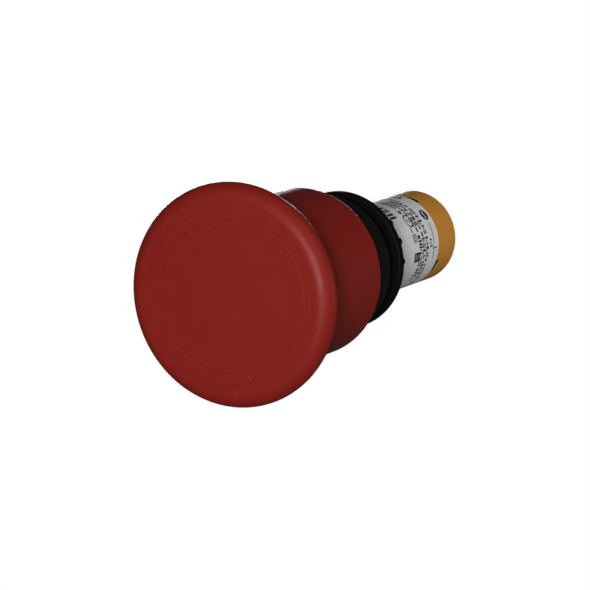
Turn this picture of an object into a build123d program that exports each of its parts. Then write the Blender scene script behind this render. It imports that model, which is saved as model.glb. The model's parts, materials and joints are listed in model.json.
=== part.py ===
from build123d import *
import os

# Compact panel-mount emergency stop button. A palm head latches when it is pushed and releases when
# it is turned clockwise. A black bezel carries the threaded neck, the washer and ring nut that clamp
# the panel, and a slim contact body with one normally closed and one normally open contact.
#
# Millimetres. The button's axis lies along Y, the head faces -Y, the terminals face +Y, +Z is up.
# The origin is the centre of the panel cut-out, on the panel's front face.

# Motion and fits
STROKE = 4.5
LATCH_TRAVEL = 0.9
TURN = 45
RUNNING = 0.08
LOOSE = 0.05
OVERSHOOT = 1.0

# Palm head
HEAD_R = 22.5
HEAD_EDGE_R = 3.0
HEAD_FACE_Y = -44.1
HEAD_DOME = 0.25
SKIRT_R = 17.45
SKIRT_REAR_Y = -10.0
SKIRT_STRAIGHT_Y = -27.0
SKIRT_EDGE_R = 1.4
SKIRT_BORE_R = 15.3
SKIRT_FLARE = 2.2
CAVITY_TAPER = 0.8
HEAD_CAVITY_Y = -41.4
HEAD_BOSS_R = 6.8
HEAD_BOSS_REAR_Y = -26.0
HEAD_RIB_DEPTH = 8.0
HEAD_RIB_T = 1.2
HEAD_RIBS = 6
HEAD_RIB_ANGLE = 30
HEX_FLATS = 7.0

# Raised arrows on the head's face
ARROW_OUTER_R = 17.4
ARROW_INNER_R = 15.1
ARROW_BARB_OUTER_R = 18.5
ARROW_BARB_INNER_R = 13.3
ARROW_TIP_R = 16.2
ARROW_TIP_ANGLE = -35
ARROW_BARB_ANGLE = -12
ARROW_TAIL_ANGLE = 49
ARROW_RISE = 0.1
ARROW_EDGE_R = 0.15
ARROW_CORNER_R = 0.25

# Bezel and its threaded neck
COLLAR_R = 14.8
COLLAR_FRONT_Y = -14.6
COLLAR_EDGE_R = 0.4
GASKET_T = 0.8
GASKET_R = 14.2
SPRING_WELL_IN_R = 10.4
SPRING_WELL_OUT_R = 13.4
SPRING_WELL_FLOOR_Y = -3.0
GUIDE_FRONT_Y = -12.0
NECK_R = 11.0
NECK_ROOT_R = 10.08
NECK_RELIEF_R = 10.6
NECK_PLAIN_Y = 2.0
NECK_REAR_Y = 13.0
THREAD_PITCH = 1.5
THREAD_CREST = 0.2
THREAD_BASE = 1.25
THREAD_RUN_OUT = 0.3

# Clamp washer and ring nut, as they stand for a 4.1 mm panel
WASHER_R = 14.6
WASHER_FRONT_Y = 4.1
WASHER_EDGE_R = 0.35
NUT_FRONT_Y = 6.1
NUT_REAR_Y = 10.2
NUT_CORE_R = 12.1
NUT_TIP_R = 12.9
NUT_LOBE_R = 1.0
NUT_LOBES = 18
NUT_BORE_R = 11.1
NUT_EDGE_R = 0.25

# Plunger, spindle and latch
PLUNGER_R = 7.5
PLUNGER_FRONT_Y = -25.5
PLUNGER_REAR_Y = 2.5
FLANGE_R = 13.4
FLANGE_FRONT_Y = -21.5
FLANGE_REAR_Y = -19.5
KEY_R = 9.0
KEY_HALF_W = 1.0
KEY_FRONT_Y = -11.6
KEY_REAR_Y = -7.6
SPINDLE_R = 3.5
SPINDLE_REAR_Y = 5.5
SPINDLE_EDGE_R = 0.4
RING_GROOVE_R = 2.5
RING_GROOVE_W = 1.2
RING_WIRE_R = 0.5
RING_Y = -16.5
PAWL_FRONT_Y = -2.5
PAWL_REAR_Y = 0.5
PAWL_HALF_W = 1.2
PAWL_INNER_R = 5.0
PAWL_TIP_R = 7.45
PAWL_SEAT_R = 4.2
PAWL_SOCKET_R = 0.85
PAWL_SOCKET_DEPTH = 1.0
PAWL_PIN_R = 0.45
PAWL_PIN_Z = 5.6
PAWL_PIN_REAR_Y = 4.2
CAM_FRONT_Y = 2.6
CAM_REAR_Y = 3.8
CAM_R = 8.2
CAM_FLATS = 5.6
CAM_WINDOW_MARGIN = 6
CLIP_REAR_Y = 4.5
CLIP_R = 4.8
CLIP_GROOVE_R = 2.7

# Springs and bellows
RETURN_COIL_R = 11.9
RETURN_WIRE_R = 0.6
RETURN_TURNS = 5
TURN_COIL_R = 8.7
TURN_WIRE_R = 0.45
TURN_TURNS = 4
TURN_LEG_R = 0.4
TURN_LEG_SINK = 0.2
TURN_COIL_FRONT_Y = -32.0
TURN_LEG_ANGLE = 8
TURN_LEG_LENGTH = 4
LATCH_COIL_R = 0.55
LATCH_WIRE_R = 0.13
LATCH_TURNS = 4
BELLOWS_OUT_R = 9.9
BELLOWS_WAIST_R = 8.8
BELLOWS_WALL = 0.6
BELLOWS_FOLDS = 4

# Contact body
BODY_R = 10.0
LABEL_T = 0.23
BODY_FRONT_Y = 13.1
LABEL_FRONT_Y = 13.6
CAP_FRONT_Y = 33.0
CAP_REAR_Y = 42.4
CAP_BORE_R = 8.5
CAP_WALL_Y = 40.8
CAP_EDGE_R = 1.0
BODY_BORE_R = 8.35
SPIGOT_R = 8.95
SPIGOT_WALL = 1.05
SPIGOT_FRONT_Y = 9.4
STEM_WALL_FRONT_Y = 11.0
STEM_WALL_REAR_Y = 12.2
LUG_REAR_Y = 34.4
LUG_WIDTH = 2.8
LUG_MIDDLE_ANGLE = 21
LUG_SPREAD = 49.5

# Contacts
CONTACT_X = 5.4
TIP_R = 1.1
TIP_T = 0.6
STRIP_T = 0.8
BRIDGE_HALF_X = 6.4
BRIDGE_HALF_W = 1.5
NC_FIXED_Y = 15.0
NO_FIXED_Y = 30.5
LEG_OUT_X = 7.6
LEG_INNER_Z = 1.7
LEG_OUTER_Z = 3.3
STEM_R = 3.0
REAR_STEM_R = 1.8
CARRIER_FRONT_Y = 12.6
CARRIER_REAR_Y = 27.0
CARRIER_HALF_X = 2.6
CARRIER_HALF_Z = 3.4
REAR_STEM_END_Y = 35.6
NC_WINDOW_REAR_Y = 20.2
NO_WINDOW_FRONT_Y = 21.2
BRIDGE_T = 0.8
BRIDGE_COIL_R = 1.1
BRIDGE_WIRE_R = 0.2
BRIDGE_TURNS = 4
CARRIER_COIL_R = 2.7
CARRIER_WIRE_R = 0.3
CARRIER_TURNS = 5

# Terminals
BLOCK_FRONT_Y = 34.8
BLOCK_REAR_Y = 37.1
SCREW_XZ = 4.4
SCREW_R = 1.2
SCREW_HEAD_R = 1.9
SCREW_HEAD_REAR_Y = 40.6
SCREW_HEAD_FRONT_Y = 39.3
SCREW_TIP_Y = 35.4
SCREW_SLOT_W = 0.5
SCREW_SLOT_DEPTH = 0.6
SCREW_EDGE_R = 0.4
CLAMP_SIDE = 3.2
WELL_R = 2.1
WIRE_HOLE_R = 1.1
WIRE_HOLE_X = 7.0
WIRE_HOLE_Z = 1.7
BARRIER_T = 0.8
BARRIER_REAR_Y = 40.5


def section(r_in, r_out, y_front, y_rear, mode=Mode.ADD):
    """Half section of a ring about Y, drawn in the XY plane with the radius along X."""
    with Locations(((r_in + r_out) / 2, (y_front + y_rear) / 2)):
        Rectangle(r_out - r_in, y_rear - y_front, mode=mode)


def across(y):
    """Plane across the axis at y, seen from the front: local x is +X and local y is +Z."""
    return Plane.XZ.offset(-y)


def coil_path(coil_r, wire_r, y_front, y_rear, turns):
    """Helix about Y for a wire of radius wire_r that just fits between y_front and y_rear."""
    height = y_rear - y_front - 2 * (wire_r + LOOSE)
    start = (0, y_front + wire_r + LOOSE, 0)
    return Helix(height / turns, height, coil_r, center=start, direction=(0, 1, 0))


def wire_start(path):
    """Plane square to a wire's path at its start."""
    return Plane(origin=path @ 0, z_dir=path % 0)


def corners(x, z):
    """Locations at the four corners of a rectangle about the axis."""
    return Locations((x, z), (-x, z), (x, -z), (-x, -z))


def widest_rims(piece):
    """The two widest circular edges of a piece."""
    return piece.edges().filter_by(GeomType.CIRCLE).sort_by(SortBy.RADIUS)[-2:]


def finish(piece, name):
    """Label a piece and write it as parts/name.step."""
    piece.part.label = name
    export_step(piece.part, f"parts/{name}.step")


os.makedirs("parts", exist_ok=True)

# ---------------------------------------------------------------- palm head and spindle

with BuildSketch() as arrow:
    with BuildLine():
        sweep_angle = ARROW_TAIL_ANGLE - ARROW_BARB_ANGLE
        outer = CenterArc((0, 0), ARROW_OUTER_R, ARROW_BARB_ANGLE, sweep_angle)
        inner = CenterArc((0, 0), ARROW_INNER_R, ARROW_BARB_ANGLE, sweep_angle)
        Line(outer @ 1, inner @ 1)
        Polyline(
            inner @ 0,
            Vector(ARROW_BARB_INNER_R, 0).rotate(Axis.Z, ARROW_BARB_ANGLE),
            Vector(ARROW_TIP_R, 0).rotate(Axis.Z, ARROW_TIP_ANGLE),
            Vector(ARROW_BARB_OUTER_R, 0).rotate(Axis.Z, ARROW_BARB_ANGLE),
            outer @ 0,
        )
    make_face()
    fillet(arrow.vertices(), ARROW_CORNER_R)

with BuildPart() as palm_head:
    edge_centre_r = HEAD_R - HEAD_EDGE_R
    edge_centre_y = HEAD_FACE_Y + HEAD_EDGE_R
    underside_y = HEAD_FACE_Y + 2 * HEAD_EDGE_R
    flare_r = SKIRT_R + SKIRT_FLARE
    with BuildSketch():
        with BuildLine():
            dome = TangentArc(
                (0, HEAD_FACE_Y - HEAD_DOME), (edge_centre_r, HEAD_FACE_Y), tangent=(1, 0)
            )
            ThreePointArc(
                (edge_centre_r, HEAD_FACE_Y), (HEAD_R, edge_centre_y), (edge_centre_r, underside_y)
            )
            Line((edge_centre_r, underside_y), (flare_r, underside_y))
            TangentArc(
                (SKIRT_R, SKIRT_STRAIGHT_Y), (flare_r, underside_y), tangent=(0, -1)
            )
            Line((SKIRT_R, SKIRT_STRAIGHT_Y), (SKIRT_R, SKIRT_REAR_Y - SKIRT_EDGE_R))
            RadiusArc(
                (SKIRT_R, SKIRT_REAR_Y - SKIRT_EDGE_R),
                (SKIRT_R - SKIRT_EDGE_R, SKIRT_REAR_Y),
                -SKIRT_EDGE_R,
            )
            Polyline(
                (SKIRT_R - SKIRT_EDGE_R, SKIRT_REAR_Y),
                (SKIRT_BORE_R, SKIRT_REAR_Y),
                (SKIRT_BORE_R, FLANGE_FRONT_Y - STROKE),
                (SKIRT_BORE_R - CAVITY_TAPER, HEAD_CAVITY_Y),
                (0, HEAD_CAVITY_Y),
                dome @ 0,
            )
        make_face()
        section(0, HEAD_BOSS_R, HEAD_CAVITY_Y, HEAD_BOSS_REAR_Y)
    revolve(axis=Axis.Y)
    with BuildSketch(across(HEAD_CAVITY_Y + HEAD_RIB_DEPTH)):
        with PolarLocations((HEAD_BOSS_R + SKIRT_BORE_R) / 2, HEAD_RIBS, start_angle=HEAD_RIB_ANGLE):
            Rectangle(SKIRT_BORE_R - HEAD_BOSS_R, HEAD_RIB_T)
    extrude(amount=HEAD_RIB_DEPTH)
    with BuildSketch(across(HEAD_BOSS_REAR_Y)):
        RegularPolygon((HEX_FLATS + LOOSE) / 2, 6, major_radius=False)
    extrude(amount=HEAD_BOSS_REAR_Y - HEAD_CAVITY_Y, mode=Mode.SUBTRACT)
    with BuildSketch(across(HEAD_FACE_Y)):
        with PolarLocations(0, 3):
            add(arrow.sketch)
    extrude(amount=HEAD_DOME + ARROW_RISE)
    arrow_tops = palm_head.faces().filter_by(Plane.XZ).sort_by(Axis.Y)[:3]
    fillet(arrow_tops.edges(), ARROW_EDGE_R)
finish(palm_head, "palm_head")

with BuildPart() as spindle:
    groove_front_y = RING_Y - RING_GROOVE_W / 2
    groove_rear_y = RING_Y + RING_GROOVE_W / 2
    with BuildSketch():
        section(0, SPINDLE_R, HEAD_BOSS_REAR_Y, SPINDLE_REAR_Y)
        section(RING_GROOVE_R, SPINDLE_R, groove_front_y, groove_rear_y, mode=Mode.SUBTRACT)
        section(CLIP_GROOVE_R, SPINDLE_R, CAM_REAR_Y, CLIP_REAR_Y, mode=Mode.SUBTRACT)
    revolve(axis=Axis.Y)
    with BuildSketch(across(HEAD_BOSS_REAR_Y)):
        RegularPolygon(HEX_FLATS / 2, 6, major_radius=False)
    extrude(amount=HEAD_BOSS_REAR_Y - HEAD_CAVITY_Y - LOOSE)
    with BuildSketch(across(CAM_REAR_Y)):
        Circle(SPINDLE_R)
        Rectangle(CAM_FLATS, 2 * SPINDLE_R, mode=Mode.SUBTRACT)
    extrude(amount=CAM_REAR_Y - CAM_FRONT_Y, mode=Mode.SUBTRACT)
    fillet(spindle.edges().filter_by(GeomType.CIRCLE).sort_by(Axis.Y)[-1], SPINDLE_EDGE_R)
finish(spindle, "spindle")

with BuildPart() as spindle_o_ring:
    with BuildSketch():
        with Locations((RING_GROOVE_R + RING_WIRE_R + RUNNING / 2, RING_Y)):
            Circle(RING_WIRE_R)
    revolve(axis=Axis.Y)
finish(spindle_o_ring, "spindle_o_ring")

# The windows let the pawls' pins stand anywhere in their travel over the whole turn.
window_r = PAWL_PIN_Z + LATCH_TRAVEL / 2
window_width = LATCH_TRAVEL + 2 * PAWL_PIN_R + 4 * RUNNING
window_arc = CenterArc((0, 0), window_r, 90 - CAM_WINDOW_MARGIN, TURN + 2 * CAM_WINDOW_MARGIN)

with BuildPart() as release_cam:
    with BuildSketch(across(CAM_REAR_Y)):
        Circle(CAM_R)
        with PolarLocations(0, 2):
            SlotArc(window_arc, window_width, mode=Mode.SUBTRACT)
        with BuildSketch(mode=Mode.SUBTRACT):
            Circle(SPINDLE_R + LOOSE)
            Rectangle(CAM_FLATS + 2 * LOOSE, 2 * CAM_R, mode=Mode.INTERSECT)
    extrude(amount=CAM_REAR_Y - CAM_FRONT_Y)
finish(release_cam, "release_cam")

with BuildPart() as spindle_clip:
    with BuildSketch(across(CLIP_REAR_Y - LOOSE)):
        Circle(CLIP_R)
        Circle(CLIP_GROOVE_R + LOOSE, mode=Mode.SUBTRACT)
        with Locations((CLIP_R, 0)):
            Rectangle(2 * CLIP_R - CLIP_GROOVE_R, CLIP_GROOVE_R, mode=Mode.SUBTRACT)
    extrude(amount=CLIP_REAR_Y - CAM_REAR_Y - 2 * LOOSE)
finish(spindle_clip, "spindle_clip")

# ---------------------------------------------------------------- plunger and latch

turn_coil = coil_path(TURN_COIL_R, TURN_WIRE_R, TURN_COIL_FRONT_Y, FLANGE_FRONT_Y, TURN_TURNS)
turn_coil = turn_coil.rotate(Axis.Y, TURN_LEG_ANGLE)
turn_front = turn_coil @ 0
turn_rear = turn_coil @ 1

with BuildPart() as turn_spring:
    with BuildSketch(wire_start(turn_coil)):
        Circle(TURN_WIRE_R)
    sweep(path=turn_coil, is_frenet=True)
    # Front leg, which stands beside the head's top rib
    with BuildSketch(across(turn_front.Y + TURN_LEG_SINK)):
        with Locations((turn_front.X, turn_front.Z)):
            Circle(TURN_LEG_R)
    extrude(amount=TURN_LEG_LENGTH)
    # Rear leg, which stands in the flange's hole
    with BuildSketch(across(FLANGE_REAR_Y)):
        with Locations((turn_rear.X, turn_rear.Z)):
            Circle(TURN_LEG_R)
    extrude(amount=FLANGE_REAR_Y - turn_rear.Y + TURN_LEG_SINK)
finish(turn_spring, "turn_spring")

with BuildPart() as plunger:
    with BuildSketch():
        section(SPINDLE_R + RUNNING, PLUNGER_R, PLUNGER_FRONT_Y, PLUNGER_REAR_Y)
        section(PLUNGER_R, FLANGE_R, FLANGE_FRONT_Y, FLANGE_REAR_Y)
    revolve(axis=Axis.Y)
    with BuildSketch(across(KEY_REAR_Y)):
        for side in (-1, 1):
            with Locations((side * (PLUNGER_R + KEY_R - OVERSHOOT) / 2, 0)):
                Rectangle(KEY_R - PLUNGER_R + OVERSHOOT, 2 * KEY_HALF_W)
    extrude(amount=KEY_REAR_Y - KEY_FRONT_Y)
    # Channels for the pawls, above and below the axis, and slots for their pins
    with BuildSketch(across(PAWL_REAR_Y + RUNNING)):
        for side in (-1, 1):
            with Locations((0, side * (PAWL_SEAT_R + PLUNGER_R + OVERSHOOT) / 2)):
                Rectangle(2 * (PAWL_HALF_W + RUNNING), PLUNGER_R + OVERSHOOT - PAWL_SEAT_R)
    extrude(amount=PAWL_REAR_Y - PAWL_FRONT_Y + 2 * RUNNING, mode=Mode.SUBTRACT)
    with BuildSketch(across(PLUNGER_REAR_Y)):
        for side in (-1, 1):
            with Locations((0, side * (PAWL_INNER_R + PLUNGER_R + OVERSHOOT) / 2)):
                Rectangle(2 * (PAWL_PIN_R + RUNNING), PLUNGER_R + OVERSHOOT - PAWL_INNER_R)
    extrude(amount=PLUNGER_REAR_Y - PAWL_REAR_Y, mode=Mode.SUBTRACT)
    # Hole for the turn spring's rear leg
    with BuildSketch(across(FLANGE_REAR_Y)):
        with Locations((turn_rear.X, turn_rear.Z)):
            Circle(TURN_LEG_R + RUNNING)
    extrude(amount=FLANGE_REAR_Y - FLANGE_FRONT_Y, mode=Mode.SUBTRACT)
finish(plunger, "plunger")

pawl_middle_y = (PAWL_FRONT_Y + PAWL_REAR_Y) / 2

with BuildPart() as latch_pawl_upper:
    with BuildSketch(across(PAWL_REAR_Y)):
        Circle(PAWL_TIP_R)
        with Locations((0, PAWL_INNER_R + PAWL_TIP_R / 2)):
            Rectangle(2 * PAWL_HALF_W, PAWL_TIP_R, mode=Mode.INTERSECT)
    extrude(amount=PAWL_REAR_Y - PAWL_FRONT_Y)
    with BuildSketch(across(PAWL_PIN_REAR_Y)):
        with Locations((0, PAWL_PIN_Z)):
            Circle(PAWL_PIN_R)
    extrude(amount=PAWL_PIN_REAR_Y - PAWL_REAR_Y)
    with BuildSketch(Plane.XY.offset(PAWL_INNER_R)):
        with Locations((0, pawl_middle_y)):
            Circle(PAWL_SOCKET_R)
    extrude(amount=PAWL_SOCKET_DEPTH, mode=Mode.SUBTRACT)
finish(latch_pawl_upper, "latch_pawl_upper")

with BuildPart() as latch_pawl_lower:
    mirror(latch_pawl_upper.part, about=Plane.XY)
finish(latch_pawl_lower, "latch_pawl_lower")

latch_gap = PAWL_INNER_R + PAWL_SOCKET_DEPTH - PAWL_SEAT_R - 2 * (LATCH_WIRE_R + LOOSE)
latch_start = (0, pawl_middle_y, PAWL_SEAT_R + LATCH_WIRE_R + LOOSE)
latch_coil = Helix(latch_gap / LATCH_TURNS, latch_gap, LATCH_COIL_R, center=latch_start)

with BuildPart() as latch_springs:
    with BuildSketch(wire_start(latch_coil)):
        Circle(LATCH_WIRE_R)
    sweep(path=latch_coil, is_frenet=True)
    mirror(about=Plane.XY)
finish(latch_springs, "latch_springs")

# ---------------------------------------------------------------- bezel, seals and return spring

thread_path = Helix(
    THREAD_PITCH,
    NECK_REAR_Y - NECK_PLAIN_Y,
    NECK_ROOT_R,
    center=(0, NECK_PLAIN_Y, 0),
    direction=(0, 1, 0),
)
thread_depth = NECK_R - NECK_ROOT_R

with BuildPart() as thread_ridge:
    ridge_plane = Plane(origin=thread_path @ 0, x_dir=(1, 0, 0), z_dir=thread_path % 0)
    with BuildSketch(ridge_plane):
        with BuildLine():
            Polyline(
                (-thread_depth / 4, -THREAD_BASE / 2),
                (0, -THREAD_BASE / 2),
                (thread_depth, -THREAD_CREST / 2),
                (thread_depth, THREAD_CREST / 2),
                (0, THREAD_BASE / 2),
                (-thread_depth / 4, THREAD_BASE / 2),
                close=True,
            )
        make_face()
    sweep(path=thread_path, is_frenet=True)
    # The first and last turn run out at the ends of the neck
    with BuildSketch():
        section(NECK_ROOT_R - thread_depth, NECK_R, NECK_PLAIN_Y, NECK_REAR_Y - THREAD_RUN_OUT)
    revolve(axis=Axis.Y, mode=Mode.INTERSECT)

with BuildPart() as bezel_housing:
    guide_bore_r = PLUNGER_R + RUNNING
    latch_bore_r = guide_bore_r + LATCH_TRAVEL
    with BuildSketch():
        section(SPRING_WELL_OUT_R, COLLAR_R, COLLAR_FRONT_Y, SPRING_WELL_FLOOR_Y)
        section(guide_bore_r, COLLAR_R, SPRING_WELL_FLOOR_Y, -GASKET_T)
        section(guide_bore_r, SPRING_WELL_IN_R, GUIDE_FRONT_Y, -GASKET_T)
        section(guide_bore_r, NECK_RELIEF_R, -GASKET_T, 0)
        section(guide_bore_r, NECK_R, 0, NECK_PLAIN_Y)
        section(guide_bore_r, NECK_ROOT_R, NECK_PLAIN_Y, NECK_REAR_Y)
        with BuildLine():
            Polyline(
                (0, PAWL_FRONT_Y),
                (guide_bore_r, PAWL_FRONT_Y),
                (latch_bore_r, PAWL_FRONT_Y + STROKE),
                (latch_bore_r, SPIGOT_FRONT_Y - LOOSE),
                (SPIGOT_R + LOOSE, SPIGOT_FRONT_Y - LOOSE),
                (SPIGOT_R + LOOSE, NECK_REAR_Y),
                (0, NECK_REAR_Y),
                close=True,
            )
        make_face(mode=Mode.SUBTRACT)
    revolve(axis=Axis.Y)
    # Keyways that stop the plunger turning and end its travel
    with BuildSketch(across(SPRING_WELL_FLOOR_Y)):
        for side in (-1, 1):
            with Locations((side * (guide_bore_r + KEY_R) / 2, 0)):
                Rectangle(KEY_R - guide_bore_r + OVERSHOOT, 2 * (KEY_HALF_W + RUNNING))
    extrude(amount=SPRING_WELL_FLOOR_Y - GUIDE_FRONT_Y, mode=Mode.SUBTRACT)
    fillet(widest_rims(bezel_housing), COLLAR_EDGE_R)
    add(thread_ridge.part)
finish(bezel_housing, "bezel_housing")

with BuildPart() as panel_gasket:
    gasket_bore_r = NECK_R + 2 * LOOSE
    with BuildSketch():
        section(gasket_bore_r, GASKET_R, -GASKET_T, 0)
        section(NECK_RELIEF_R + LOOSE, gasket_bore_r, -GASKET_T, -GASKET_T / 2)
    revolve(axis=Axis.Y)
finish(panel_gasket, "panel_gasket")

with BuildPart() as bellows_seal:
    folds = 2 * BELLOWS_FOLDS
    fold_step = (GUIDE_FRONT_Y - FLANGE_REAR_Y) / folds
    outside = [
        (BELLOWS_OUT_R if n % 2 == 0 else BELLOWS_WAIST_R, FLANGE_REAR_Y + n * fold_step)
        for n in range(folds + 1)
    ]
    inside = [(r - BELLOWS_WALL, y) for r, y in reversed(outside)]
    with BuildSketch():
        with BuildLine():
            Polyline(*outside, *inside, close=True)
        make_face()
    revolve(axis=Axis.Y)
finish(bellows_seal, "bellows_seal")

return_coil = coil_path(
    RETURN_COIL_R, RETURN_WIRE_R, FLANGE_REAR_Y, SPRING_WELL_FLOOR_Y, RETURN_TURNS
)

with BuildPart() as return_spring:
    with BuildSketch(wire_start(return_coil)):
        Circle(RETURN_WIRE_R)
    sweep(path=return_coil, is_frenet=True)
finish(return_spring, "return_spring")

# ---------------------------------------------------------------- washer and nut

with BuildPart() as clamp_washer:
    with BuildSketch():
        section(NUT_BORE_R, WASHER_R, WASHER_FRONT_Y, NUT_FRONT_Y)
    revolve(axis=Axis.Y)
    fillet(widest_rims(clamp_washer), WASHER_EDGE_R)
finish(clamp_washer, "clamp_washer")

with BuildPart() as ring_nut:
    with BuildSketch(across(NUT_REAR_Y)):
        Circle(NUT_CORE_R)
        with PolarLocations(NUT_TIP_R - NUT_LOBE_R, NUT_LOBES):
            Circle(NUT_LOBE_R)
        Circle(NUT_BORE_R, mode=Mode.SUBTRACT)
    extrude(amount=NUT_REAR_Y - NUT_FRONT_Y)
    lobe_edges = ring_nut.faces().sort_by(Axis.Y)[-1].outer_wire().edges()
    fillet(lobe_edges, NUT_EDGE_R)
finish(ring_nut, "ring_nut")

# ---------------------------------------------------------------- contact body

stem_bore_r = STEM_R + RUNNING
lug_angles = [
    LUG_MIDDLE_ANGLE + side * LUG_SPREAD + turn for side in (-1, 1) for turn in (0, 180)
]


def lug_outline(clearance):
    """Outline of the four snap lugs around the rear edge of the contact body, grown by a clearance."""
    for angle in lug_angles:
        with PolarLocations(BODY_R, 1, start_angle=angle):
            Rectangle(2 * (BODY_R - CAP_BORE_R - LOOSE + clearance), LUG_WIDTH + 2 * clearance)
    Circle(BODY_R - LOOSE + 2 * clearance, mode=Mode.INTERSECT)


with BuildPart() as contact_housing:
    label_bore_r = BODY_R - LABEL_T
    with BuildSketch():
        section(SPIGOT_R - SPIGOT_WALL, SPIGOT_R, SPIGOT_FRONT_Y, BODY_FRONT_Y)
        section(stem_bore_r, SPIGOT_R, STEM_WALL_FRONT_Y, STEM_WALL_REAR_Y)
        section(BODY_BORE_R, BODY_R, BODY_FRONT_Y, LABEL_FRONT_Y)
        section(BODY_BORE_R, label_bore_r - LOOSE / 2, LABEL_FRONT_Y, CAP_FRONT_Y)
    revolve(axis=Axis.Y)
    with BuildSketch(across(LUG_REAR_Y)):
        lug_outline(0)
    extrude(amount=LUG_REAR_Y - CAP_FRONT_Y)
finish(contact_housing, "contact_housing")

with BuildPart() as label_sleeve:
    with BuildSketch():
        section(label_bore_r, BODY_R, LABEL_FRONT_Y, CAP_FRONT_Y)
    revolve(axis=Axis.Y)
finish(label_sleeve, "label_sleeve")

with BuildPart() as rear_cap:
    with BuildSketch():
        section(0, BODY_R, CAP_FRONT_Y, CAP_REAR_Y)
        section(0, CAP_BORE_R, CAP_FRONT_Y, CAP_WALL_Y, mode=Mode.SUBTRACT)
    revolve(axis=Axis.Y)
    fillet(rear_cap.edges().sort_by(Axis.Y)[-1], CAP_EDGE_R)
    with BuildSketch(across(LUG_REAR_Y + RUNNING)):
        lug_outline(RUNNING)
    extrude(amount=LUG_REAR_Y + RUNNING - CAP_FRONT_Y, mode=Mode.SUBTRACT)
    # Screwdriver wells and wire entries
    with BuildSketch(across(CAP_REAR_Y)):
        with corners(SCREW_XZ, SCREW_XZ):
            Circle(WELL_R)
        with corners(WIRE_HOLE_X, WIRE_HOLE_Z):
            Circle(WIRE_HOLE_R)
    extrude(amount=CAP_REAR_Y - CAP_WALL_Y, mode=Mode.SUBTRACT)
finish(rear_cap, "rear_cap")

with BuildPart() as terminal_block:
    with BuildSketch(across(BLOCK_REAR_Y)):
        Circle(CAP_BORE_R - LOOSE)
        with corners(LEG_OUT_X - STRIP_T / 2, (LEG_INNER_Z + LEG_OUTER_Z) / 2):
            leg_slot_height = LEG_OUTER_Z - LEG_INNER_Z + 2 * RUNNING
            Rectangle(STRIP_T + 2 * RUNNING, leg_slot_height, mode=Mode.SUBTRACT)
        with corners(SCREW_XZ, SCREW_XZ):
            Circle(SCREW_R + 3 * LOOSE, mode=Mode.SUBTRACT)
    extrude(amount=BLOCK_REAR_Y - BLOCK_FRONT_Y)
    # Barrier walls between the terminals
    with BuildSketch(across(BARRIER_REAR_Y)):
        Rectangle(2 * CAP_BORE_R, BARRIER_T)
        Rectangle(BARRIER_T, 2 * CAP_BORE_R)
        Circle(CAP_BORE_R - LOOSE, mode=Mode.INTERSECT)
    extrude(amount=BARRIER_REAR_Y - BLOCK_REAR_Y)
    with BuildSketch(across(BARRIER_REAR_Y)):
        Circle(REAR_STEM_R + RUNNING)
    extrude(amount=BARRIER_REAR_Y - BLOCK_FRONT_Y, mode=Mode.SUBTRACT)
finish(terminal_block, "terminal_block")

# ---------------------------------------------------------------- contacts


def tip_pair():
    """The two contact points of one circuit, either side of the axis."""
    with Locations((CONTACT_X, 0), (-CONTACT_X, 0)):
        Circle(TIP_R)


def terminal_pair(pad_front_y, up):
    """Contact strips of one circuit: pads behind the contact points, legs along the wall and screw plates.

    up is 1 for the circuit whose legs run above the axis and -1 for the one below.
    """
    leg_width = LEG_OUTER_Z - LEG_INNER_Z
    leg_z = up * (LEG_INNER_Z + LEG_OUTER_Z) / 2
    pad_x = CONTACT_X - TIP_R
    plate_inner_x = SCREW_XZ - CLAMP_SIDE / 2
    plate_outer_x = SCREW_XZ + CLAMP_SIDE / 2
    plate_height = SCREW_XZ + TIP_R - LEG_INNER_Z
    with BuildPart() as pair:
        with BuildSketch(across(pad_front_y + STRIP_T)):
            with Locations(((pad_x + LEG_OUT_X) / 2, up * (LEG_OUTER_Z - BRIDGE_HALF_W) / 2)):
                Rectangle(LEG_OUT_X - pad_x, LEG_OUTER_Z + BRIDGE_HALF_W)
        extrude(amount=STRIP_T)
        with BuildSketch(across(BLOCK_REAR_Y + STRIP_T)):
            with Locations((LEG_OUT_X - STRIP_T / 2, leg_z)):
                Rectangle(STRIP_T, leg_width)
        extrude(amount=BLOCK_REAR_Y + STRIP_T - pad_front_y)
        with BuildSketch(across(BLOCK_REAR_Y + STRIP_T)):
            with Locations(((plate_inner_x + LEG_OUT_X) / 2, leg_z)):
                Rectangle(LEG_OUT_X - plate_inner_x, leg_width)
            with Locations(
                ((plate_inner_x + plate_outer_x) / 2, up * (LEG_INNER_Z + plate_height / 2))
            ):
                Rectangle(CLAMP_SIDE, plate_height)
            with Locations((SCREW_XZ, up * SCREW_XZ)):
                Circle(SCREW_R + LOOSE, mode=Mode.SUBTRACT)
        extrude(amount=STRIP_T)
        mirror(about=Plane.YZ)
    return pair


nc_terminals = terminal_pair(NC_FIXED_Y - STRIP_T, 1)
finish(nc_terminals, "nc_terminals")

no_terminals = terminal_pair(NO_FIXED_Y, -1)
finish(no_terminals, "no_terminals")

with BuildPart() as fixed_contact_tips:
    for tip_rear_y in (NC_FIXED_Y + TIP_T, NO_FIXED_Y):
        with BuildSketch(across(tip_rear_y)):
            tip_pair()
        extrude(amount=TIP_T)
finish(fixed_contact_tips, "fixed_contact_tips")

with BuildPart() as bridge_contact_tips:
    for tip_rear_y in (NC_FIXED_Y + 2 * TIP_T, NO_FIXED_Y - TIP_T - STROKE):
        with BuildSketch(across(tip_rear_y)):
            tip_pair()
        extrude(amount=TIP_T)
finish(bridge_contact_tips, "bridge_contact_tips")

nc_bridge_front_y = NC_FIXED_Y + 2 * TIP_T
no_bridge_rear_y = NO_FIXED_Y - 2 * TIP_T - STROKE

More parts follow.
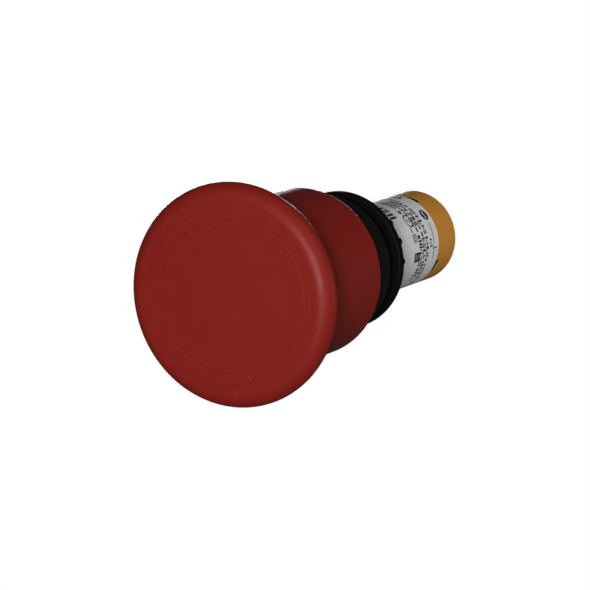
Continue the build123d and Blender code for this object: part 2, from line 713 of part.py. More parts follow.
with BuildPart() as nc_bridge:
    with BuildSketch(across(nc_bridge_front_y + BRIDGE_T)):
        Rectangle(2 * BRIDGE_HALF_X, 2 * BRIDGE_HALF_W)
    extrude(amount=BRIDGE_T)
finish(nc_bridge, "nc_bridge")

with BuildPart() as no_bridge:
    with BuildSketch(across(no_bridge_rear_y)):
        Rectangle(2 * BRIDGE_HALF_X, 2 * BRIDGE_HALF_W)
    extrude(amount=BRIDGE_T)
finish(no_bridge, "no_bridge")

with BuildPart() as contact_carrier:
    with BuildSketch():
        section(0, STEM_R, SPINDLE_REAR_Y + LOOSE, CARRIER_FRONT_Y)
        section(0, REAR_STEM_R, CARRIER_REAR_Y, REAR_STEM_END_Y)
    revolve(axis=Axis.Y)
    with BuildSketch(across(CARRIER_REAR_Y)):
        Rectangle(2 * CARRIER_HALF_X, 2 * CARRIER_HALF_Z)
    extrude(amount=CARRIER_REAR_Y - CARRIER_FRONT_Y)
    # Windows that hold each bridge and its spring
    windows = (
        (nc_bridge_front_y - LOOSE, NC_WINDOW_REAR_Y),
        (NO_WINDOW_FRONT_Y, no_bridge_rear_y + LOOSE),
    )
    for window_front_y, window_rear_y in windows:
        with BuildSketch(across(window_rear_y)):
            Rectangle(2 * CARRIER_HALF_X, 2 * (BRIDGE_HALF_W + RUNNING))
        extrude(amount=window_rear_y - window_front_y, mode=Mode.SUBTRACT)
finish(contact_carrier, "contact_carrier")

nc_gap = (nc_bridge_front_y + BRIDGE_T, NC_WINDOW_REAR_Y)
no_gap = (NO_WINDOW_FRONT_Y, no_bridge_rear_y - BRIDGE_T)

with BuildPart() as bridge_springs:
    for gap_front_y, gap_rear_y in (nc_gap, no_gap):
        coil = coil_path(BRIDGE_COIL_R, BRIDGE_WIRE_R, gap_front_y, gap_rear_y, BRIDGE_TURNS)
        with BuildSketch(wire_start(coil)):
            Circle(BRIDGE_WIRE_R)
        sweep(path=coil, is_frenet=True)
finish(bridge_springs, "bridge_springs")

carrier_coil = coil_path(
    CARRIER_COIL_R, CARRIER_WIRE_R, CARRIER_REAR_Y, BLOCK_FRONT_Y, CARRIER_TURNS
)

with BuildPart() as carrier_spring:
    with BuildSketch(wire_start(carrier_coil)):
        Circle(CARRIER_WIRE_R)
    sweep(path=carrier_coil, is_frenet=True)
finish(carrier_spring, "carrier_spring")

# ---------------------------------------------------------------- terminal screws

with BuildPart() as terminal_clamps:
    with BuildSketch(across(SCREW_HEAD_FRONT_Y)):
        with corners(SCREW_XZ, SCREW_XZ):
            Rectangle(CLAMP_SIDE, CLAMP_SIDE)
            Circle(SCREW_R + LOOSE, mode=Mode.SUBTRACT)
    extrude(amount=STRIP_T)
finish(terminal_clamps, "terminal_clamps")

with BuildPart() as terminal_screws:
    with BuildSketch(across(SCREW_HEAD_REAR_Y)):
        with corners(SCREW_XZ, SCREW_XZ):
            Circle(SCREW_HEAD_R)
    extrude(amount=SCREW_HEAD_REAR_Y - SCREW_HEAD_FRONT_Y)
    fillet(terminal_screws.edges().group_by(Axis.Y)[-1], SCREW_EDGE_R)
    with BuildSketch(across(SCREW_HEAD_REAR_Y)):
        with corners(SCREW_XZ, SCREW_XZ):
            Rectangle(SCREW_SLOT_W, 2 * SCREW_HEAD_R)
    extrude(amount=SCREW_SLOT_DEPTH, mode=Mode.SUBTRACT)
    with BuildSketch(across(SCREW_HEAD_FRONT_Y)):
        with corners(SCREW_XZ, SCREW_XZ):
            Circle(SCREW_R)
    extrude(amount=SCREW_HEAD_FRONT_Y - SCREW_TIP_Y)
finish(terminal_screws, "terminal_screws")
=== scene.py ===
import json
import math
import random

import bmesh
import bpy
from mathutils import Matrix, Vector


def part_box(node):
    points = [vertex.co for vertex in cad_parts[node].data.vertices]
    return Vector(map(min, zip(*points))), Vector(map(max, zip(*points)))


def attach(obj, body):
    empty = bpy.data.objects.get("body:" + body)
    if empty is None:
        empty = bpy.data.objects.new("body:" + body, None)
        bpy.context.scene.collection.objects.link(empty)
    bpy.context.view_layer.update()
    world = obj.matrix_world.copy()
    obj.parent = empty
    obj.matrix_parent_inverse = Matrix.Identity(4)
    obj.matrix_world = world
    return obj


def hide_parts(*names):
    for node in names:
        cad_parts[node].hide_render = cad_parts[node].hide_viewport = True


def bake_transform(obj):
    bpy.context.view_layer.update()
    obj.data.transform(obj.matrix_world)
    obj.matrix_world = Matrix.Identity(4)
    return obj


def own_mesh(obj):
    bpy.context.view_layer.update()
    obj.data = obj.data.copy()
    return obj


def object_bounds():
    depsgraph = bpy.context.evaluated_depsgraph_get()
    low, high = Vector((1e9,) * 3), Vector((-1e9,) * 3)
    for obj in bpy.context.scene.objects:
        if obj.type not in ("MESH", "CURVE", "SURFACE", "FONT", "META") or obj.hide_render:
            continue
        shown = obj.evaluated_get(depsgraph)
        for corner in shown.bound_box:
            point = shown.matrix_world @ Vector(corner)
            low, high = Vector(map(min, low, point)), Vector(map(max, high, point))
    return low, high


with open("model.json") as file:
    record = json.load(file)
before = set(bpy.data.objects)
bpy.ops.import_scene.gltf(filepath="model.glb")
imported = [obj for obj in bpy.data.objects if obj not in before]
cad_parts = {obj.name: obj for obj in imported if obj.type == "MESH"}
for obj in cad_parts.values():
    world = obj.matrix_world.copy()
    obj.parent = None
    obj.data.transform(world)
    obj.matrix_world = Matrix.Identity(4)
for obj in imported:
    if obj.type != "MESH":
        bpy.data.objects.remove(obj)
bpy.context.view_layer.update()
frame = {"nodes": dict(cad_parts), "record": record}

# Final look of a compact panel-mount emergency stop button, in metres and in the CAD frame: the axis lies
# along Y, the head faces -Y, +Z is up. The CAD nodes keep their shapes, apart from the springs and the
# bellows, which are replaced by new meshes. The print on the label and the label's lap are added.

MM = 0.001
WHITE = (1.0, 1.0, 1.0, 1.0)
random.seed(20)

# Sockets that share their names with others on the same node, so they are reached by number
MIX_FACTOR, MIX_FIRST, MIX_SECOND, MIX_RESULT = 0, 6, 7, 2
SHADER_FACTOR, SHADER_FIRST, SHADER_SECOND = 0, 1, 2


# ---------------------------------------------------------------- node helpers

def node(tree, kind, inputs=None, **settings):
    """Adds a shader node. An input's value is a number, a colour or another node's output."""
    made = tree.nodes.new("ShaderNode" + kind)
    for key, value in settings.items():
        setattr(made, key, value)
    for key, value in (inputs or {}).items():
        if isinstance(value, bpy.types.NodeSocket):
            tree.links.new(value, made.inputs[key])
        else:
            made.inputs[key].default_value = value
    return made


def new_material(name):
    """An empty material with its Principled shader and the piece's own coordinates."""
    material = bpy.data.materials.new(name)
    material.use_nodes = True
    tree = material.node_tree
    tree.nodes.clear()
    bsdf = node(tree, "BsdfPrincipled")
    node(tree, "OutputMaterial", {"Surface": bsdf.outputs["BSDF"]})
    coords = node(tree, "TexCoord").outputs["Object"]
    return material, tree, bsdf, coords


def noise(tree, coords, scale, detail=4.0, stretch=None):
    """Noise between about 0.3 and 0.7. scale is in cells per metre, stretch scales the axes apart."""
    if stretch:
        coords = node(tree, "Mapping", {"Vector": coords, "Scale": stretch}).outputs["Vector"]
    made = node(tree, "TexNoise", {"Vector": coords, "Scale": scale, "Detail": detail})
    return made.outputs["Fac"]


def spread(tree, value, low=0.0, high=1.0):
    """Maps a noise value to the range from low to high."""
    made = node(tree, "MapRange", {"Value": value, "From Min": 0.3, "From Max": 0.7,
                                   "To Min": low, "To Max": high})
    return made.outputs["Result"]


def mixed(tree, factor, first, second):
    """Blends two colours."""
    made = node(tree, "Mix", {MIX_FACTOR: factor, MIX_FIRST: first, MIX_SECOND: second}, data_type="RGBA")
    return made.outputs[MIX_RESULT]


def shade(colour, factor):
    """A colour made darker or lighter, with full alpha."""
    return (*(channel * factor for channel in colour), 1.0)


def toned(tree, value, colour, low, high):
    """A colour times a factor that goes from low to high with a noise value."""
    return mixed(tree, spread(tree, value), shade(colour, low), shade(colour, high))


def bumped(tree, bsdf, layers):
    """Stacks bumps on a shader. Each layer is a height value, its depth in metres and its strength."""
    normal = None
    for height, depth, strength in layers:
        inputs = {"Height": height, "Distance": depth, "Strength": strength}
        if normal is not None:
            inputs["Normal"] = normal
        normal = node(tree, "Bump", inputs).outputs["Normal"]
    tree.links.new(normal, bsdf.inputs["Normal"])


def camera_sees(tree, seen, lit):
    """One shader for the camera's own rays and another for all other rays."""
    camera_ray = node(tree, "LightPath").outputs["Is Camera Ray"]
    made = node(tree, "MixShader", {SHADER_FACTOR: camera_ray, SHADER_FIRST: lit, SHADER_SECOND: seen})
    return made.outputs["Shader"]


# ---------------------------------------------------------------- materials

def moulded_plastic(name, colour, roughness, grain=2600, grain_depth=0.02, specular=0.45, marbling=0.05):
    """Moulded plastic with a spark-eroded grain, faint flow marks and a slightly uneven sheen."""
    material, tree, bsdf, coords = new_material(name)
    flow = noise(tree, coords, scale=55, detail=3.0)
    speckle = noise(tree, coords, scale=5200, detail=2.0)
    sheen = noise(tree, coords, scale=420, detail=5.0)
    waviness = noise(tree, coords, scale=90, detail=2.0)
    cloudy = toned(tree, flow, colour, low=1 - marbling, high=1 + marbling)
    specks = toned(tree, speckle, colour, low=0.93, high=1.07)
    speck_share = 0.35
    tree.links.new(mixed(tree, speck_share, cloudy, specks), bsdf.inputs["Base Color"])
    tree.links.new(spread(tree, sheen, low=roughness - 0.05, high=roughness + 0.07), bsdf.inputs["Roughness"])
    bsdf.inputs["Specular IOR Level"].default_value = specular
    bumped(tree, bsdf, [(waviness, 0.12 * MM, 0.25),
                        (noise(tree, coords, scale=grain, detail=3.0), grain_depth * MM, 0.55)])
    return material


def elastomer(name, colour):
    """Matt rubber with a fine bloom."""
    material, tree, bsdf, coords = new_material(name)
    bloom = noise(tree, coords, scale=700, detail=6.0)
    tree.links.new(toned(tree, bloom, colour, low=0.8, high=1.6), bsdf.inputs["Base Color"])
    tree.links.new(spread(tree, bloom, low=0.62, high=0.82), bsdf.inputs["Roughness"])
    bsdf.inputs["Specular IOR Level"].default_value = 0.3
    bumped(tree, bsdf, [(noise(tree, coords, scale=1900), 0.03 * MM, 0.6)])
    return material


def metal(name, colour, roughness, stretch, lines=900, lines_depth=0.006):
    """Metal with drawn, rolled or ground lines and a faint stain. stretch sets the direction of the lines."""
    material, tree, bsdf, coords = new_material(name)
    streak = noise(tree, coords, scale=lines, detail=5.0, stretch=stretch)
    stain = noise(tree, coords, scale=260)
    stained = toned(tree, stain, colour, low=0.82, high=1.06)
    streaked = toned(tree, streak, colour, low=0.88, high=1.05)
    streak_share = 0.5
    tree.links.new(mixed(tree, streak_share, stained, streaked), bsdf.inputs["Base Color"])
    tree.links.new(spread(tree, streak, low=roughness - 0.06, high=roughness + 0.1), bsdf.inputs["Roughness"])
    bsdf.inputs["Metallic"].default_value = 1.0
    bumped(tree, bsdf, [(streak, lines_depth * MM, 0.5), (stain, 0.02 * MM, 0.15)])
    return material


def label_foil(name, colour):
    """Silver-grey foil: faintly metallic, with fine fibres and shallow ripples where it is wrapped."""
    material, tree, bsdf, coords = new_material(name)
    fibre = noise(tree, coords, scale=1500, stretch=(1.0, 0.25, 1.0))
    patch = noise(tree, coords, scale=140, detail=3.0)
    patchy = toned(tree, patch, colour, low=0.95, high=1.05)
    fine = toned(tree, fibre, colour, low=0.93, high=1.06)
    fibre_share = 0.5
    tree.links.new(mixed(tree, fibre_share, patchy, fine), bsdf.inputs["Base Color"])
    tree.links.new(spread(tree, fibre, low=0.4, high=0.52), bsdf.inputs["Roughness"])
    bsdf.inputs["Metallic"].default_value = 0.12
    ripple = noise(tree, coords, scale=170, detail=2.0)
    bumped(tree, bsdf, [(ripple, 0.05 * MM, 0.3), (fibre, 0.006 * MM, 0.5)])
    return material


def label_ink(name, colour):
    """Screen-printed ink: uneven coverage and slightly glossier than the foil."""
    material, tree, bsdf, coords = new_material(name)
    coverage = noise(tree, coords, scale=2400)
    tree.links.new(toned(tree, coverage, colour, low=0.7, high=2.2), bsdf.inputs["Base Color"])
    tree.links.new(spread(tree, coverage, low=0.3, high=0.48), bsdf.inputs["Roughness"])
    bumped(tree, bsdf, [(coverage, 0.004 * MM, 0.5)])
    return material


materials = {
    "head_red": moulded_plastic("head_red", (0.226, 0.0124, 0.0080), 0.48,
                                grain=2300, grain_depth=0.014, specular=0.2),
    "bezel_black": moulded_plastic("bezel_black", (0.0044, 0.0052, 0.0048), 0.55, specular=0.12),
    "nut_black": moulded_plastic("nut_black", (0.0026, 0.0026, 0.0027), 0.5, grain=3000, specular=0.08),
    "rubber": elastomer("rubber", (0.012, 0.012, 0.012)),
    "label_silver": label_foil("label_silver", (0.86, 0.89, 0.87)),
    "cap_yellow": moulded_plastic("cap_yellow", (0.65, 0.28, 0.041), 0.5,
                                  grain=2000, specular=0.18, marbling=0.07),
    "inner_plastic": moulded_plastic("inner_plastic", (0.6, 0.585, 0.53), 0.38, grain=3200),
    "latch_steel": metal("latch_steel", (0.5, 0.5, 0.52), 0.28, (1.0, 0.06, 1.0)),
    "spring_steel": metal("spring_steel", (0.6, 0.6, 0.62), 0.24, (0.3, 1.0, 0.3), lines=1600),
    "terminal_brass": metal("terminal_brass", (0.72, 0.5, 0.2), 0.3, (1.0, 0.08, 1.0), lines=1200),
    "contact_silver": metal("contact_silver", (0.85, 0.85, 0.83), 0.2, (0.5, 0.5, 0.5), lines=2500),
    "label_ink": label_ink("label_ink", (0.004, 0.004, 0.005)),
}

for subpart in frame["record"]["subparts"]:
    carried = frame["nodes"][subpart["node"]]
    for material_slot in carried.material_slots:
        material_slot.material = materials[subpart["material_slot"]]


# ---------------------------------------------------------------- mesh helpers

def new_piece(name, bm, slot, material=None, smooth=True):
    """Makes a scene object from a bmesh, with the material named by material, else the one named by slot."""
    bmesh.ops.recalc_face_normals(bm, faces=bm.faces)
    mesh = bpy.data.meshes.new(name)
    bm.to_mesh(mesh)
    bm.free()
    mesh.materials.append(materials[material or slot])
    for polygon in mesh.polygons:
        polygon.use_smooth = smooth
    piece = bpy.data.objects.new(name, mesh)
    bpy.context.scene.collection.objects.link(piece)
    return piece


def tube(bm, points, radius, sides=12):
    """A round wire with closed ends along a list of points."""
    count = len(points)
    tangents = [(points[min(i + 1, count - 1)] - points[max(i - 1, 0)]).normalized() for i in range(count)]
    across = tangents[0].orthogonal().normalized()
    rings = []
    for point, tangent in zip(points, tangents):
        across = (across - tangent * across.dot(tangent)).normalized()
        side = tangent.cross(across)
        ring = []
        for k in range(sides):
            turn = 2 * math.pi * k / sides
            ring.append(bm.verts.new(point + radius * (math.cos(turn) * across + math.sin(turn) * side)))
        rings.append(ring)
    for first, second in zip(rings, rings[1:]):
        for k in range(sides):
            n = (k + 1) % sides
            bm.faces.new((first[k], first[n], second[n], second[k]))
    bm.faces.new(rings[0])
    bm.faces.new(rings[-1])


CLOSED_TURNS = 0.8    # at each end of a compression spring
CLOSED_PITCH = 2.04   # rise of a whole closed turn in wire radii, so that it just clears its neighbour


def coil_points(coil_r, wire_r, low, high, turns, per_turn=40):
    """Centre line of a compression spring between two ends, with closed end turns, about the Y axis."""
    low, high = low + wire_r, high - wire_r
    closed_rise = CLOSED_PITCH * wire_r * CLOSED_TURNS
    total = int(turns * per_turn)
    points = []
    for i in range(total + 1):
        turn = i / per_turn
        if turn < CLOSED_TURNS:
            y = low + closed_rise * turn / CLOSED_TURNS
        elif turn > turns - CLOSED_TURNS:
            y = high - closed_rise * (turns - turn) / CLOSED_TURNS
        else:
            share = (turn - CLOSED_TURNS) / (turns - 2 * CLOSED_TURNS)
            y = low + closed_rise + (high - low - 2 * closed_rise) * share
        angle = 2 * math.pi * turn
        points.append(Vector((coil_r * math.cos(angle), y, coil_r * math.sin(angle))))
    return points


def on_cylinder(radius, arc, y):
    """A point on a cylinder about Y. arc is the distance round it from +X towards +Z."""
    angle = arc / radius
    return Vector((radius * math.cos(angle), y, radius * math.sin(angle)))


# ---------------------------------------------------------------- springs and bellows


def ride_and_squash(piece, replaced):
    """Hides the CAD part that the piece replaces and keeps the piece with the housing, on a mesh of its own.
    """
    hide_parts(replaced)
    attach(piece, "housing")
    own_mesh(piece)


def compression_spring(name, replaced, wire_r, turns):
    """A coil in the space of a CAD spring."""
    lowest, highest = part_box(replaced)
    bm = bmesh.new()
    tube(bm, coil_points(highest.x - wire_r, wire_r, lowest.y, highest.y, turns), wire_r)
    piece = new_piece(name, bm, "spring_steel")
    ride_and_squash(piece, replaced)


compression_spring("return_spring_coil", "return_spring", wire_r=0.6 * MM, turns=5.5)
compression_spring("carrier_spring_coil", "carrier_spring", wire_r=0.3 * MM, turns=5.5)

# Bellows with rounded folds
bellows_lo, bellows_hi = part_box("bellows_seal")
BELLOWS_FOLDS = 4
BELLOWS_WALL = 0.55 * MM
BELLOWS_DEPTH = 1.0 * MM
BELLOWS_STEPS = 64
BELLOWS_SIDES = 96
bm = bmesh.new()
profile = []
for wall, order in ((0.0, 1), (BELLOWS_WALL, -1)):
    line = []
    for i in range(BELLOWS_STEPS + 1):
        share = i / BELLOWS_STEPS
        wave = 0.5 + 0.5 * math.cos(2 * math.pi * BELLOWS_FOLDS * share)
        line.append((bellows_hi.x - wall - BELLOWS_DEPTH * (1 - wave),
                     bellows_lo.y + (bellows_hi.y - bellows_lo.y) * share))
    profile.extend(line[::order])
rings = []
for k in range(BELLOWS_SIDES):
    turn = 2 * math.pi * k / BELLOWS_SIDES
    rings.append([bm.verts.new((r * math.cos(turn), y, r * math.sin(turn))) for r, y in profile])
for k in range(BELLOWS_SIDES):
    here, there = rings[k], rings[(k + 1) % BELLOWS_SIDES]
    for i in range(len(profile)):
        n = (i + 1) % len(profile)
        bm.faces.new((here[i], there[i], there[n], here[n]))
bellows_piece = new_piece("bellows_folds", bm, "rubber")
ride_and_squash(bellows_piece, "bellows_seal")

# Torsion spring that turns the head back: its front leg stands by a rib of the head, its rear leg in the
# plunger
turn_lo, turn_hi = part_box("turn_spring")
TURN_WIRE_R = 0.45 * MM
FRONT_LEG = 3.4 * MM
REAR_LEG = 2.0 * MM
BEND_SIZE = 0.7 * MM
BEND_ROOM = 1.6       # the coil stops this many bend sizes before its corner
BEND_STEPS = 6
COIL_TURNS = 4
COIL_STEPS = COIL_TURNS * 48
COIL_START = math.radians(82)
turn_r = turn_hi.x - TURN_WIRE_R
coil_front = turn_lo.y + FRONT_LEG + TURN_WIRE_R
coil_rear = turn_hi.y - REAR_LEG - TURN_WIRE_R
coil = []
for i in range(COIL_STEPS + 1):
    share = i / COIL_STEPS
    angle = COIL_START - 2 * math.pi * COIL_TURNS * share
    coil.append(Vector((turn_r * math.cos(angle), coil_front + (coil_rear - coil_front) * share,
                        turn_r * math.sin(angle))))


def bent_end(corner, inside, leg_y):
    """Points of a leg along Y that meets the coil at its corner with a rounded bend."""
    leg = Vector((corner.x, leg_y, corner.z))
    along_leg = (leg - corner).normalized()
    along_coil = (inside - corner).normalized()
    first = corner + along_leg * BEND_SIZE
    last = corner + along_coil * BEND_SIZE
    bend = []
    for i in range(BEND_STEPS + 1):
        t = i / BEND_STEPS
        bend.append((1 - t) ** 2 * first + 2 * t * (1 - t) * corner + t * t * last)
    return [leg] + bend


keep_from = next(i for i, point in enumerate(coil) if (point - coil[0]).length > BEND_ROOM * BEND_SIZE)
front_end = bent_end(coil[0], coil[keep_from], turn_lo.y)
rear_end = bent_end(coil[-1], coil[-1 - keep_from], turn_hi.y)
bm = bmesh.new()
tube(bm, front_end + coil[keep_from:-keep_from] + rear_end[::-1], TURN_WIRE_R)
turn_piece = new_piece("turn_spring_coil", bm, "spring_steel")
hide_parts("turn_spring")
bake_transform(turn_piece)

# The two small springs behind the pawls, one above and one below
latch_lo, latch_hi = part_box("latch_springs")
LATCH_WIRE_R = 0.13 * MM
LATCH_SEAT_Z = 4.2 * MM
LATCH_TURNS = 5
latch_y = (latch_lo.y + latch_hi.y) / 2
for side, name in ((1, "upper"), (-1, "lower")):
    along = coil_points(latch_hi.x - LATCH_WIRE_R, LATCH_WIRE_R, LATCH_SEAT_Z, latch_hi.z,
                        LATCH_TURNS, per_turn=24)
    bm = bmesh.new()
    tube(bm, [Vector((p.x, latch_y + p.z, side * p.y)) for p in along], LATCH_WIRE_R, sides=8)
    latch_piece = new_piece("latch_spring_" + name, bm, "spring_steel")
    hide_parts("latch_springs")
    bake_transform(latch_piece)


# ---------------------------------------------------------------- print on the label

label_lo, label_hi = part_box("label_sleeve")
front = label_lo.y
rear = label_hi.y
LABEL_R = label_hi.x
INK_RISE = 0.012 * MM
INK_SINK = 0.02 * MM
ARC_STEP = 0.35 * MM
label_bm = bmesh.new()


def arc_at(degrees):
    """Distance round the label of an angle from +X towards +Z."""
    return math.radians(degrees) * LABEL_R


def ink_sheet(rows, wrap=False):
    """A thin closed layer of ink. rows is a grid of (arc, y) points; wrap joins the last row to the first."""
    top = [[label_bm.verts.new(on_cylinder(LABEL_R + INK_RISE, a, y)) for a, y in row] for row in rows]
    base = [[label_bm.verts.new(on_cylinder(LABEL_R - INK_SINK, a, y)) for a, y in row] for row in rows]
    count, width = len(rows), len(rows[0])
    for i in range(count if wrap else count - 1):
        n = (i + 1) % count
        for j in range(width - 1):
            label_bm.faces.new((top[i][j], top[n][j], top[n][j + 1], top[i][j + 1]))
            label_bm.faces.new((base[i][j + 1], base[n][j + 1], base[n][j], base[i][j]))
        label_bm.faces.new((top[n][0], top[i][0], base[i][0], base[n][0]))
        label_bm.faces.new((top[i][-1], top[n][-1], base[n][-1], base[i][-1]))
    if not wrap:
        for i in (0, count - 1):
            for j in range(width - 1):
                label_bm.faces.new((top[i][j], top[i][j + 1], base[i][j + 1], base[i][j]))


def bar(arc_from, arc_to, y_from, y_to):
    """A rectangle of ink."""
    pieces = max(1, round(abs(arc_to - arc_from) / ARC_STEP))
    ink_sheet([[(arc_from + (arc_to - arc_from) * i / pieces, y) for y in (y_from, y_to)]
               for i in range(pieces + 1)])


def bars(y, rectangles):
    """Rectangles of ink. Each is its start and stop in degrees, then its bottom and top in mm from y."""
    for start, stop, low, high in rectangles:
        bar(arc_at(start), arc_at(stop), y + low * MM, y + high * MM)


def ring_mark(arc, y, inner, outer, squash, segments=40):
    """A ring of ink. squash flattens it along the axis."""
    ink_sheet([[(arc + r * math.cos(t), y + squash * r * math.sin(t)) for r in (inner, outer)]
               for t in (2 * math.pi * i / segments for i in range(segments))], wrap=True)


# Shapes of one printed mark, as bars (left, right, bottom, top) in parts of the mark's width and height
MARKS = (
    ((0.0, 0.38, 0.0, 1.0), (0.6, 1.0, 0.0, 1.0)),
    ((0.0, 0.4, 0.0, 1.0), (0.58, 1.0, 0.28, 0.72)),
    ((0.0, 1.0, 0.6, 1.0), (0.0, 1.0, 0.0, 0.36)),
    ((0.0, 0.5, 0.0, 1.0), (0.68, 1.0, 0.0, 0.4)),
    ((0.05, 0.95, 0.0, 0.7),),
    ((0.0, 1.0, 0.28, 0.72),),
)
MARK_WIDTHS = (0.8, 0.95, 1.1)
MARK_GAP = 0.22 * MM
GROUP_GAP = 0.4 * MM
GROUP_LEAST = 3
GROUP_MOST = 7


def stroke_row(y, height, start, stop):
    """A row of short bars in groups. It has the density of small print but spells nothing."""
    position, end = arc_at(start), arc_at(stop)
    left_in_group = 0
    while position > end:
        if left_in_group == 0:
            left_in_group = random.randint(GROUP_LEAST, GROUP_MOST)
            position -= GROUP_GAP
        width = random.choice(MARK_WIDTHS) * MM
        for left, right_end, low, high in random.choice(MARKS):
            bar(position - left * width, position - right_end * width,
                y + (low - 0.5) * height, y + (high - 0.5) * height)
        position -= width + MARK_GAP
        left_in_group -= 1


# Rows of print, counted from the rear: row, height of its marks in mm, start and stop in degrees
PRINT_ROWS = ((0, 1.25, 88, -52), (1, 1.45, 82, -34), (2, 1.45, 82, -38), (3, 1.45, 84, 52),
              (0, 1.15, 250, 128), (1, 1.4, 242, 150), (2, 1.4, 236, 150))
FIRST_ROW = 5.7 * MM
ROW_STEP = 1.65 * MM
row_y = [rear - FIRST_ROW - ROW_STEP * n for n in range(4)]
for row, height, start, stop in PRINT_ROWS:
    stroke_row(row_y[row], height * MM, start, stop)

# Plain ring with two short strokes inside
ring_y = row_y[3] + 0.1 * MM
ring_mark(arc_at(40.5), ring_y, inner=1.3 * MM, outer=1.62 * MM, squash=0.92)
bars(ring_y, ((44, 39, -0.55, -0.2), (42, 36.5, 0.2, 0.5)))

# Striped box
STRIPE_STEP = 2.3
box_y = row_y[3] - 0.9 * MM
bars(box_y, [(31, 24.5, -0.12, 0.3)])
bars(box_y, [(22 - STRIPE_STEP * n, 20.9 - STRIPE_STEP * n, -0.1, 1.5) for n in range(5)])
bars(box_y, [(22, 11.7, -0.35, -0.1)])

# Bold block cut by two light slots
block_y = row_y[3] - 0.1 * MM
bars(block_y, [(-1.2, -13.2, low, high) for low, high in ((-1.3, -0.62), (-0.42, 0.28), (0.48, 1.15))])
bars(block_y, ((-1.2, -3.4, -1.3, 1.15), (-11, -13.2, -1.3, 1.15)))

# Round mark with a light bar across it
SPOT_HALF_WIDTH = 0.75 * MM
spot_y = rear - 2.35 * MM
spot_arc = arc_at(42)
ring_mark(spot_arc, spot_y, inner=0.95 * MM, outer=1.36 * MM, squash=0.96)
for low, high in ((-0.85, -0.3), (0.12, 0.85)):
    bar(spot_arc + SPOT_HALF_WIDTH, spot_arc - SPOT_HALF_WIDTH, spot_y + low * MM, spot_y + high * MM)

# Contact diagram: a wire, a make contact with its operator, and a wire
WIRE_HALF = 0.12
LEVER_FROM = -5
LEVER_SPAN = 8
LEVER_DROP = 0.75 * MM
LEVER_STEPS = 6
wire_y = rear - 2.4 * MM
bars(wire_y, ((30, 3, -WIRE_HALF, WIRE_HALF), (LEVER_FROM, -16, -WIRE_HALF, WIRE_HALF)))
lever = [(arc_at(LEVER_FROM + LEVER_SPAN * i / LEVER_STEPS), wire_y - LEVER_DROP * i / LEVER_STEPS)
         for i in range(LEVER_STEPS + 1)]
ink_sheet([[(a, y - WIRE_HALF * MM), (a, y + WIRE_HALF * MM)] for a, y in lever])
bars(wire_y, [(-1.2, -2.6, -0.5, 1.5)])
bars(wire_y, [(10.5 - 4 * n, 8.6 - 4 * n, -2.0, -(0.95 + 0.25 * (n % 2))) for n in range(3)])

# Bold strokes near the front edge and marks near the top
bars(front, ((73, 69.5, 3.2, 5.4), (67, 60.5, 4.5, 5.4), (67, 60.5, 3.2, 4.1), (57.5, 54, 2.6, 5.4),
             (52, 48.5, 2.6, 5.4), (91, 87, 3.0, 5.2), (84, 78, 3.0, 3.8)))
bars(rear, ((89, 85, -3.0, -1.2), (83, 79, -3.0, -1.2)))

print_piece = new_piece("label_print", label_bm, "label_silver", material="label_ink", smooth=False)
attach(print_piece, "housing")

# The label's end laps over its start on the side away from the diagram
LAP_FROM, LAP_TO = 196, 212
LAP_STEPS = 12
LAP_RISE = 0.05 * MM
LAP_FEATHER = 0.55    # share of the rise at the lap's edge
bm = bmesh.new()
strips = []
for i in range(LAP_STEPS + 1):
    arc = arc_at(LAP_FROM + (LAP_TO - LAP_FROM) * i / LAP_STEPS)
    rise = LAP_RISE if i else LAP_RISE * LAP_FEATHER
    strips.append([bm.verts.new(on_cylinder(radius, arc, y))
                   for radius, y in ((LABEL_R - INK_SINK, front), (LABEL_R + rise, front),
                                     (LABEL_R + rise, rear), (LABEL_R - INK_SINK, rear))])
for here, there in zip(strips, strips[1:]):
    for k in range(4):
        n = (k + 1) % 4
        bm.faces.new((here[k], there[k], there[n], here[n]))
bm.faces.new(strips[0])
bm.faces.new(strips[-1])
lap_piece = new_piece("label_lap", bm, "label_silver", smooth=False)
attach(lap_piece, "housing")


# ---------------------------------------------------------------- floor and studio

lo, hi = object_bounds()
FLOOR_DROP = 0.055
FLOOR_HALF = 6.0
floor_z = lo.z - FLOOR_DROP
floor_corners = [(x * FLOOR_HALF, y * FLOOR_HALF, floor_z) for x, y in ((-1, -1), (1, -1), (1, 1), (-1, 1))]
floor_mesh = bpy.data.meshes.new("floor")
floor_mesh.from_pydata(floor_corners, [], [(0, 1, 2, 3)])
floor = bpy.data.objects.new("floor", floor_mesh)
bpy.context.scene.collection.objects.link(floor)

floor_material = bpy.data.materials.new("floor_white")
floor_material.use_nodes = True
tree = floor_material.node_tree
tree.nodes.clear()
paper = noise(tree, node(tree, "TexCoord").outputs["Object"], scale=8, detail=3.0)
paper_tone = mixed(tree, spread(tree, paper), (0.2, 0.2, 0.2, 1), (0.22, 0.22, 0.22, 1))
matt = node(tree, "BsdfDiffuse", {"Color": paper_tone}).outputs["BSDF"]
glow = node(tree, "Emission", {"Color": WHITE, "Strength": 1.0}).outputs["Emission"]
node(tree, "OutputMaterial", {"Surface": camera_sees(tree, seen=glow, lit=matt)})
floor_mesh.materials.append(floor_material)

world = bpy.data.worlds.new("studio")
world.use_nodes = True
tree = world.node_tree
tree.nodes.clear()
dim = node(tree, "Background", {"Color": WHITE, "Strength": 0.05}).outputs["Background"]
white = node(tree, "Background", {"Color": WHITE, "Strength": 1.0}).outputs["Background"]
node(tree, "OutputWorld", {"Surface": camera_sees(tree, seen=white, lit=dim)})
bpy.context.scene.world = world
bpy.context.scene.view_settings.view_transform = "Standard"


# ---------------------------------------------------------------- camera and lights

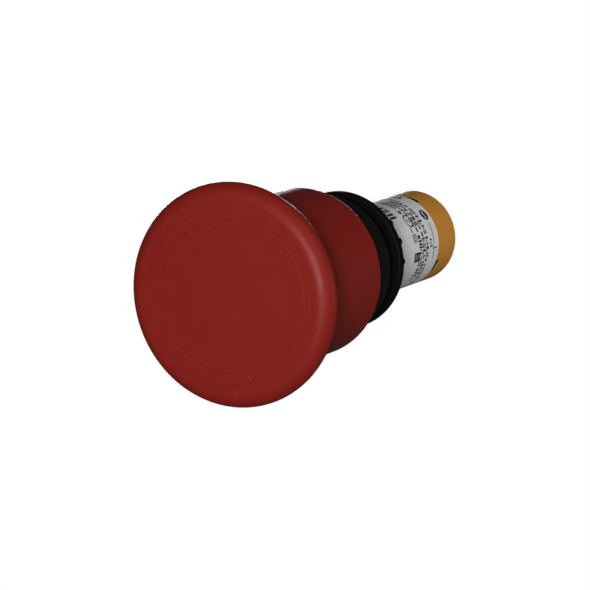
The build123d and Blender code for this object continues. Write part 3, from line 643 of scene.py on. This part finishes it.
CAMERA_AZIMUTH = math.radians(27.5)
CAMERA_ELEVATION = math.radians(10.31)
CAMERA_DISTANCE = 0.6
CAMERA_ASIDE = 11.96 * MM
CAMERA_RAISE = 0.03 * MM
CAMERA_LENS = 186.1
CAMERA_SENSOR = 36.0
CLIP_NEAR = 0.01
CLIP_FAR = 100
HEAD_EDGE = 3.0 * MM      # half the thickness of the head's disc
HEAD_RELIEF = 0.35 * MM   # dome and arrows stand this far in front of the disc's edge


def direction(azimuth, elevation):
    """Direction from the object to a point of the studio. Azimuth 0 is in front of the head, 90 is at +X."""
    return Vector((math.sin(azimuth) * math.cos(elevation), -math.cos(azimuth) * math.cos(elevation),
                   math.sin(elevation)))


back = direction(CAMERA_AZIMUTH, CAMERA_ELEVATION)
right = Vector((math.cos(CAMERA_AZIMUTH), math.sin(CAMERA_AZIMUTH), 0))
up = back.cross(right)
head_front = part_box("palm_head")[0].y
head_middle = Vector((0, head_front + HEAD_RELIEF + HEAD_EDGE, 0))
camera_data = bpy.data.cameras.new("camera")
camera_data.lens = CAMERA_LENS
camera_data.sensor_width = CAMERA_SENSOR
camera_data.clip_start = CLIP_NEAR
camera_data.clip_end = CLIP_FAR
camera = bpy.data.objects.new("camera", camera_data)
camera.location = head_middle + back * CAMERA_DISTANCE + right * CAMERA_ASIDE + up * CAMERA_RAISE
camera.rotation_mode = "QUATERNION"
camera.rotation_quaternion = (-back).to_track_quat("-Z", "Y")
bpy.context.scene.collection.objects.link(camera)
bpy.context.scene.camera = camera


def softbox(name, target, azimuth, elevation, distance, width, height, power):
    """A rectangular soft light that faces a target point. Angles in degrees, power in watts."""
    data = bpy.data.lights.new(name, "AREA")
    data.shape = "RECTANGLE"
    data.size = width
    data.size_y = height
    data.energy = power
    light = bpy.data.objects.new(name, data)
    towards = direction(math.radians(azimuth), math.radians(elevation))
    light.location = target + towards * distance
    light.rotation_mode = "QUATERNION"
    light.rotation_quaternion = towards.to_track_quat("Z", "Y")
    light.visible_camera = False
    bpy.context.scene.collection.objects.link(light)


middle = (lo + hi) / 2
label_middle = (label_lo + label_hi) / 2
softbox("key", middle, azimuth=22, elevation=9, distance=1.4, width=0.3, height=0.3, power=17.0)
softbox("side", middle, azimuth=60, elevation=2, distance=1.2, width=0.4, height=0.4, power=0.55)
softbox("high", middle, azimuth=80, elevation=40, distance=1.2, width=0.12, height=0.12, power=1.5)
softbox("near", label_middle, azimuth=100, elevation=2, distance=0.16, width=0.08, height=0.08, power=0.022)
softbox("back", middle, azimuth=207, elevation=0, distance=1.3, width=0.6, height=0.12, power=12.0)
